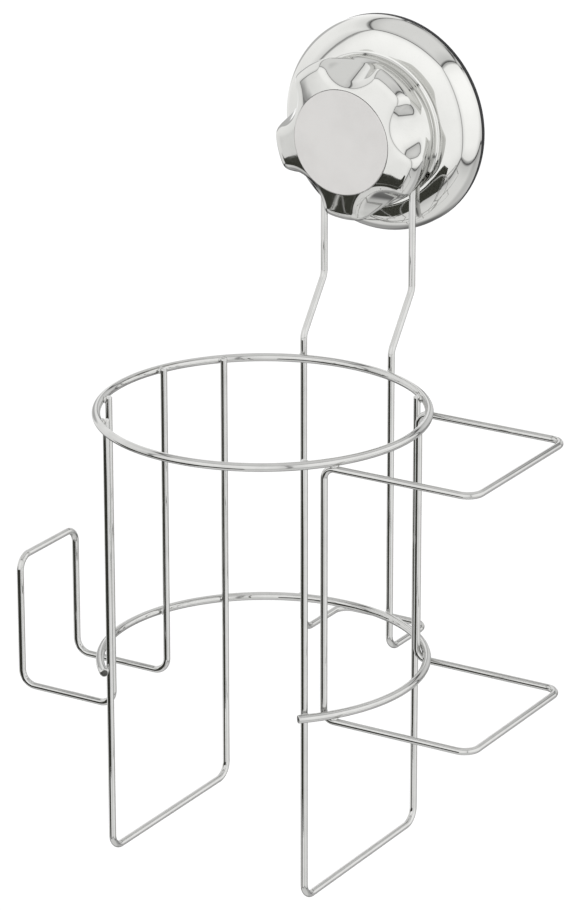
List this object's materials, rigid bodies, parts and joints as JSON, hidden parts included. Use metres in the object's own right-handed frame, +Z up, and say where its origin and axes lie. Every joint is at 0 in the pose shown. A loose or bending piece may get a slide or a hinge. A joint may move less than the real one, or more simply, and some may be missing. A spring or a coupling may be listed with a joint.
{
  "type": "hair dryer holder",
  "caption": "Chromed wire hair dryer cage with cord hook and side loops, hung on a screw-lock suction mount with a lobed knob.",
  "frame": {"origin": "middle of the suction pad's wall face, on the axis of the knob", "axes": "+Y into the wall, along the knob axis; +Z up; +X to the right as seen from the room"},
  "size_m": [0.198, 0.1475, 0.2884],
  "materials": {
    "soft_pad": "smooth soft PVC",
    "screw_steel": "plain turned steel",
    "plated_shell": "moulded ABS with bright chrome plating",
    "nylon": "natural nylon",
    "brass": "turned brass",
    "chrome_wire": "bright chrome-plated steel wire"
  },
  "bodies": {
    "suction_base": {"base_dish": "plated_shell", "suction_pad": "soft_pad", "thrust_washer": "nylon"},
    "knob": {"knob_body": "plated_shell", "knob_nut": "brass", "knob_cap": "plated_shell"},
    "lock_screw": {"pull_stud": "screw_steel"},
    "wire_cage": {"hanger_wire": "chrome_wire", "top_ring": "chrome_wire", "lower_ring": "chrome_wire", "left_leg": "chrome_wire", "right_leg": "chrome_wire", "cord_hook": "chrome_wire", "side_loops": "chrome_wire"}
  },
  "joints": [
    {"name": "knob_turn", "type": "hinge", "parent": "suction_base", "child": "knob", "pos_m": [0, 0, 0], "axis": [0, 1, 0], "range_deg": [0, 360]},
    {"name": "screw_pull", "type": "slide", "parent": "suction_base", "child": "lock_screw", "axis": [0, -1, 0], "range_m": [0, 0.003], "deforming": ["suction_pad"]},
    {"name": "cage_swing", "type": "hinge", "parent": "suction_base", "child": "wire_cage", "pos_m": [0, -0.01475, 0], "axis": [0, 1, 0], "range_deg": [-8, 8]}
  ],
  "couplings": [
    {"joint": "screw_pull", "follows": "knob_turn", "m_per_rad": 0.000477}
  ]
}
